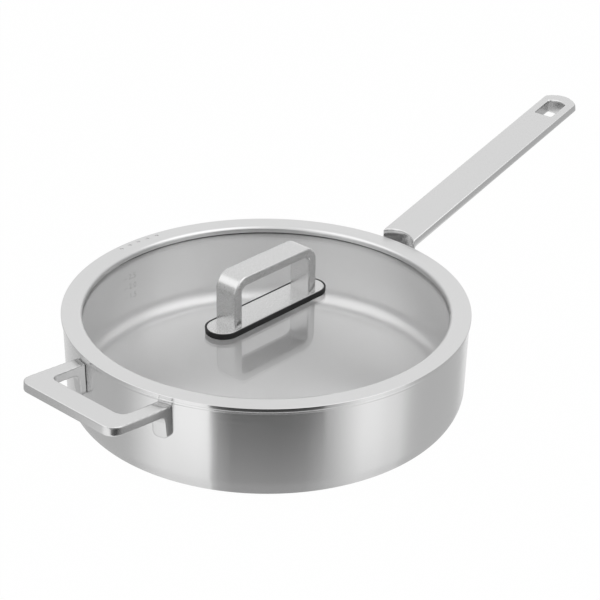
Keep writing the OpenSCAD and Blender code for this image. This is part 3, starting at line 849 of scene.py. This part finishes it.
class SAUTE_OT_fasteners(bpy.types.Operator):
    """Turns the screws, washers and bushes and sets a pair of each"""
    bl_idname = "saute.fasteners"
    bl_label = "Fasteners"

    def execute(self, context):
        s = context.scene.fastener_sizes
        tree = pair_tree()
        head_r, washer_r, bush_r = SCREW_HIGH.y, WASHER_HIGH.y, BUSH_HIGH.y
        soft = s.soft
        screw = [(0.0, SCREW_LOW.z)]
        screw += arc(head_r - soft, SCREW_LOW.z + soft, soft, -90, 0, 3)
        screw += arc(head_r - soft, SCREW_LOW.z + s.head - soft, soft, 0, 90, 3)
        screw += [(s.shank / 2, SCREW_LOW.z + s.head)]
        screw += arc(s.shank / 2 - soft, SCREW_HIGH.z - soft, soft, 0, 90, 3)
        screw += [(0.0, SCREW_HIGH.z)]
        washer = [(s.bore / 2, WASHER_LOW.z)]
        washer += arc(washer_r - soft, WASHER_LOW.z + soft, soft, -90, 0, 3)
        washer += arc(washer_r - soft, WASHER_HIGH.z - soft, soft, 0, 90, 3)
        washer += [(s.bore / 2, WASHER_HIGH.z)]
        bush = [(s.bore / 2, BUSH_LOW.z)]
        bush += arc(bush_r - soft, BUSH_LOW.z + soft, soft, -90, 0, 3)
        bush += arc(bush_r - soft, BUSH_LOW.z + s.flange - soft, soft, 0, 90, 3)
        bush += [(s.sleeve / 2, BUSH_LOW.z + s.flange), (s.sleeve / 2, BUSH_HIGH.z),
                 (s.bore / 2, BUSH_HIGH.z)]
        for node, name, section, key, slot in (
                ("lid_screws", "screws", screw, "screw", "screw_steel"),
                ("screw_washers", "washers", washer, "screw", "screw_steel"),
                ("glass_bushes", "bushes", bush, "silicone", "silicone")):
            one = placed("one_of_" + name, spun("one_of_" + name, section, TURNED_STEPS))
            if name == "screws":
                # The key way starts 1 mm under the head, so that the cut is open there
                corner = s.socket / math.sqrt(3)
                low, high = SCREW_LOW.z - 0.001, SCREW_LOW.z + s.socket_depth
                key_way = [(0.0, low), (corner, low), (corner, high), (0.0, high)]
                cut_by(one, placed("key_way", spun("key_way", key_way, SOCKET_STEPS)))
            pair = grown(name, tree, {"Piece": one, "Reach": s.reach, "Material": finish(key)})
            bpy.data.objects.remove(one)
            shaded(pair.data)
            given(pair, "lid", slot, node, key)
        return {"FINISHED"}


class SAUTE_OT_studio(bpy.types.Operator):
    """Sets up the floor, the reflector, the lamps, the world and the camera"""
    bl_idname = "saute.studio"
    bl_label = "Studio"

    def execute(self, context):
        scene = context.scene
        scene.view_settings.view_transform = "Standard"
        s = scene.pan_studio
        cos_e = math.cos(s.elevation)
        back = Vector((math.sin(s.azimuth) * cos_e, -math.cos(s.azimuth) * cos_e,
                       math.sin(s.elevation)))
        lens = bpy.data.cameras.new("camera")
        lens.lens = s.lens
        lens.sensor_width = 36.0
        lens.clip_start, lens.clip_end = 0.05, 50.0
        camera = bpy.data.objects.new("camera", lens)
        scene.collection.objects.link(camera)
        camera.location = Vector(s.aim) + back * s.distance
        camera.rotation_mode = "QUATERNION"
        camera.rotation_quaternion = ((-back).to_track_quat("-Z", "Y")
                                      @ Quaternion((0.0, 0.0, 1.0), s.roll))
        scene.camera = camera
        self.world(scene)
        self.floor()
        self.reflector(s)
        self.lamps(scene, s)
        return {"FINISHED"}

    def world(self, scene):
        """White for the camera and for gloss, softer for the fill."""
        world = bpy.data.worlds.new("Studio")
        scene.world = world
        world.use_nodes = True
        tree = world.node_tree
        tree.nodes.clear()
        level = add(tree, "ShaderNodeMapRange",
                    {"Value": sees_white(tree), "To Min": WORLD_FILL, "To Max": 1.0})
        light = add(tree, "ShaderNodeBackground",
                    {"Color": (1.0, 1.0, 1.0, 1.0), "Strength": level.outputs[0]})
        add(tree, "ShaderNodeOutputWorld", {"Surface": light.outputs[0]})

    def floor(self):
        """A white floor that keeps the pan's shadow."""
        mesh = bpy.data.meshes.new("floor")
        half = 6.0
        mesh.from_pydata([(-half, -half, 0), (half, -half, 0), (half, half, 0), (-half, half, 0)],
                         [], [(0, 1, 2, 3)])
        material, tree = blank("White studio floor")
        share = add(tree, "ShaderNodeMath", {0: sees_white(tree), 1: FLOOR_GLOW},
                    operation="MULTIPLY")
        paint = add(tree, "ShaderNodeBsdfDiffuse", {0: (*[FLOOR_PAINT] * 3, 1.0)})
        glow = add(tree, "ShaderNodeEmission", {0: (1.0, 1.0, 1.0, 1.0), 1: 1.0})
        mix = add(tree, "ShaderNodeMixShader",
                  {0: share.outputs[0], 1: paint.outputs[0], 2: glow.outputs[0]})
        add(tree, "ShaderNodeOutputMaterial", {"Surface": mix.outputs[0]})
        placed("floor", mesh, material)

    def reflector(self, s):
        """The studio round the pan as the wall mirrors it, seen only by glossy rays.

        Each column starts at the wall, at an angle from the camera's direction, and runs out the
        way the wall reflects the camera there, so the bands stand upright on the wall. A column
        lies on the floor and then stands up, and every point carries its own brightness."""
        look = math.atan2(-math.cos(s.azimuth), math.sin(s.azimuth))
        reaches = (0.0, 0.03, 0.06, 0.09, 0.11, 0.13, 0.15, 0.18, 0.22, 0.3, 0.6)
        columns = 360

        def softened(level, reach):
            blend = 0.5 * max(0.0, 1.0 - reach / s.near_reach)
            return level + (s.near_level - level) * blend

        points, levels, faces = [], [], []
        for i in range(columns + 1):
            side = -90 + 180 * i / columns
            near = look + math.radians(side)
            out = look + math.radians(2 * side)
            level = between(BANDS, side)
            points.append((s.near * math.cos(near), s.near * math.sin(near),
                           s.above_floor - 0.0001))
            levels.append(softened(level, 0.0))
            for reach in reaches:
                points.append((s.foot * math.cos(near) + reach * math.cos(out),
                               s.foot * math.sin(near) + reach * math.sin(out), s.above_floor))
                fade = between(DEPTH, reach) if DARK_FROM < side < DARK_TO else 1.0
                levels.append(fade * softened(level, reach))
            x, y, z = points[-1]
            points.append((x, y, s.screen))
            levels.append(level)
        rows = len(reaches) + 2
        for i in range(columns):
            for k in range(rows - 1):
                a = i * rows + k
                faces.append((a, a + 1, a + rows + 1, a + rows))
        mesh = bpy.data.meshes.new("reflector")
        mesh.from_pydata(points, [], faces)
        mesh.attributes.new("level", "FLOAT", "POINT").data.foreach_set("value", levels)
        material, tree = blank("Studio reflector")
        level = add(tree, "ShaderNodeAttribute", attribute_name="level")
        glow = add(tree, "ShaderNodeEmission",
                   {0: (1.0, 1.0, 1.0, 1.0), 1: level.outputs["Fac"]})
        add(tree, "ShaderNodeOutputMaterial", {"Surface": glow.outputs[0]})
        card = placed("reflector", mesh, material)
        card.visible_camera = False
        card.visible_diffuse = False
        card.visible_transmission = False
        card.visible_shadow = False

    def lamps(self, scene, s):
        """Two plain soft lamps."""
        for name, azimuth, elevation, distance, size, power in LAMPS:
            lamp = bpy.data.lights.new(name, "AREA")
            lamp.shape = "DISK"
            lamp.size = size
            lamp.energy = power
            obj = bpy.data.objects.new(name, lamp)
            scene.collection.objects.link(obj)
            a, e = s.azimuth + math.radians(azimuth), math.radians(elevation)
            away = Vector((math.sin(a) * math.cos(e), -math.cos(a) * math.cos(e), math.sin(e)))
            obj.location = away * distance
            obj.rotation_mode = "QUATERNION"
            obj.rotation_quaternion = (-away).to_track_quat("-Z", "Y")


PIECES = (SAUTE_OT_pan_shells, SAUTE_OT_litre_marks, SAUTE_OT_handles, SAUTE_OT_lid_ring,
          SAUTE_OT_lid_handle, SAUTE_OT_fasteners, SAUTE_OT_studio)
GROUPS = {"pan_sizes": PanSizes, "lid_sizes": LidSizes, "handle_sizes": HandleSizes,
          "fastener_sizes": FastenerSizes, "mark_sizes": MarkSizes, "pan_finishes": Finishes,
          "pan_studio": Studio}


class SAUTE_PT_panel(bpy.types.Panel):
    """Lists the sizes, the colours and the steps of the saute pan"""
    bl_idname = "SAUTE_PT_panel"
    bl_label = "Saute pan"
    bl_space_type = "VIEW_3D"
    bl_region_type = "UI"
    bl_category = "Saute pan"

    def draw(self, context):
        for operator in PIECES:
            self.layout.operator(operator.bl_idname)
        for key, group in GROUPS.items():
            box = self.layout.box()
            for name in group.__annotations__:
                box.prop(getattr(context.scene, key), name)


def register():
    for group in GROUPS.values():
        bpy.utils.register_class(group)
    for operator in PIECES:
        bpy.utils.register_class(operator)
    bpy.utils.register_class(SAUTE_PT_panel)
    for key, group in GROUPS.items():
        setattr(bpy.types.Scene, key, PointerProperty(type=group))


def unregister():
    for key in GROUPS:
        delattr(bpy.types.Scene, key)
    bpy.utils.unregister_class(SAUTE_PT_panel)
    for operator in reversed(PIECES):
        bpy.utils.unregister_class(operator)
    for group in reversed(list(GROUPS.values())):
        bpy.utils.unregister_class(group)


def main():
    register()
    bpy.ops.saute.pan_shells()
    bpy.ops.saute.litre_marks()
    bpy.ops.saute.handles()
    bpy.ops.saute.lid_ring()
    bpy.ops.saute.lid_handle()
    bpy.ops.saute.fasteners()
    bpy.ops.saute.studio()


if __name__ == "__main__":
    main()
